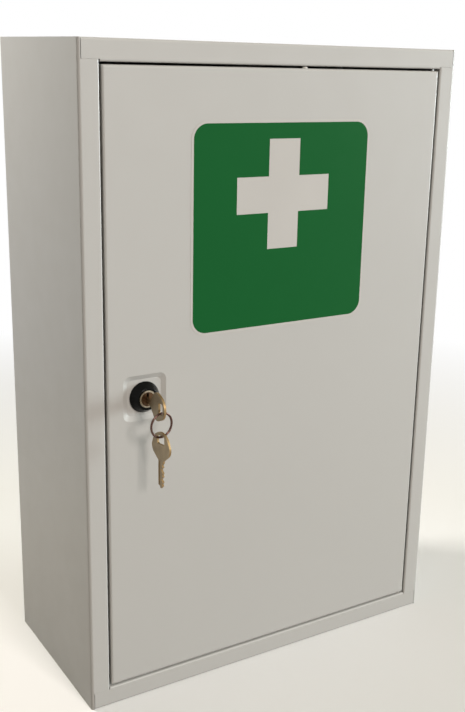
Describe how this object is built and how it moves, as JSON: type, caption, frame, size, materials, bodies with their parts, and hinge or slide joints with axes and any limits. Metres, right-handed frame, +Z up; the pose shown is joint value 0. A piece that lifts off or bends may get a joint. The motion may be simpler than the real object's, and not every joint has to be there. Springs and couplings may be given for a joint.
{
  "type": "lockable medicine cabinet",
  "caption": "Wall-hung sheet-steel cabinet with an inset pivot-hinged door, fixed shelves behind it, and a cam lock holding a key with a spare on a ring.",
  "frame": {"origin": "centre of the underside of the cabinet", "axes": "+Z up along the height, +Y to the wall, +X to the hinge side; the door faces -Y"},
  "size_m": [0.3, 0.1742, 0.46],
  "materials": {
    "enamel": "satin powder coat, warm white",
    "zinc": "zinc plated",
    "nickel": "nickel plated, polished",
    "key_metal": "worn nickel-plated brass",
    "ring_wire": "polished wire with warm reflections",
    "collar": "black, slightly glossy",
    "nylon": "natural nylon",
    "rubber": "matt",
    "label_film": "glossy green film"
  },
  "bodies": {
    "carcass": {"body_wrap": "enamel", "top_panel": "enamel", "bottom_panel": "enamel", "upper_shelf": "enamel", "lower_shelf": "enamel", "runner_upper_left": "enamel", "runner_upper_right": "enamel", "runner_lower_left": "enamel", "runner_lower_right": "enamel", "stop_bracket_upper": "enamel", "stop_bracket_lower": "enamel", "stop_pad_upper": "rubber", "stop_pad_lower": "rubber", "hinge_bush_top": "nylon", "hinge_bush_bottom": "nylon"},
    "door": {"door_panel": "enamel", "hinge_plate_top": "zinc", "hinge_plate_bottom": "zinc", "hinge_pin_top": "zinc", "hinge_pin_bottom": "zinc", "top_buffer": "nylon", "label": "label_film", "lock_body": "zinc", "lock_collar": "collar", "lock_washer": "zinc", "lock_nut": "zinc"},
    "plug": {"lock_plug": "nickel", "lock_cam": "zinc", "cam_washer": "zinc", "cam_screw": "zinc"},
    "key": {"key_in_lock": "key_metal"},
    "ring": {"key_ring": "ring_wire"},
    "spare": {"spare_key": "key_metal"}
  },
  "joints": [
    {"name": "door_hinge", "type": "hinge", "parent": "carcass", "child": "door", "pos_m": [0.1313, -0.0665, 0.23], "axis": [0, 0, 1], "range_deg": [0, 105]},
    {"name": "lock_turn", "type": "hinge", "parent": "door", "child": "plug", "pos_m": [-0.107, -0.0685, 0.2287], "axis": [0, 1, 0], "range_deg": [0, 90]},
    {"name": "key_pull", "type": "slide", "parent": "plug", "child": "key", "axis": [0, -1, 0], "range_m": [0, 0.018]},
    {"name": "ring_swing", "type": "hinge", "parent": "key", "child": "ring", "pos_m": [-0.107, -0.0945, 0.2209], "axis": [0, 1, 0], "range_deg": [-90, 90]},
    {"name": "spare_swing", "type": "hinge", "parent": "ring", "child": "spare", "pos_m": [-0.107, -0.0945, 0.2083], "axis": [0.9848, 0.1736, 0], "range_deg": [-60, 25]}
  ]
}
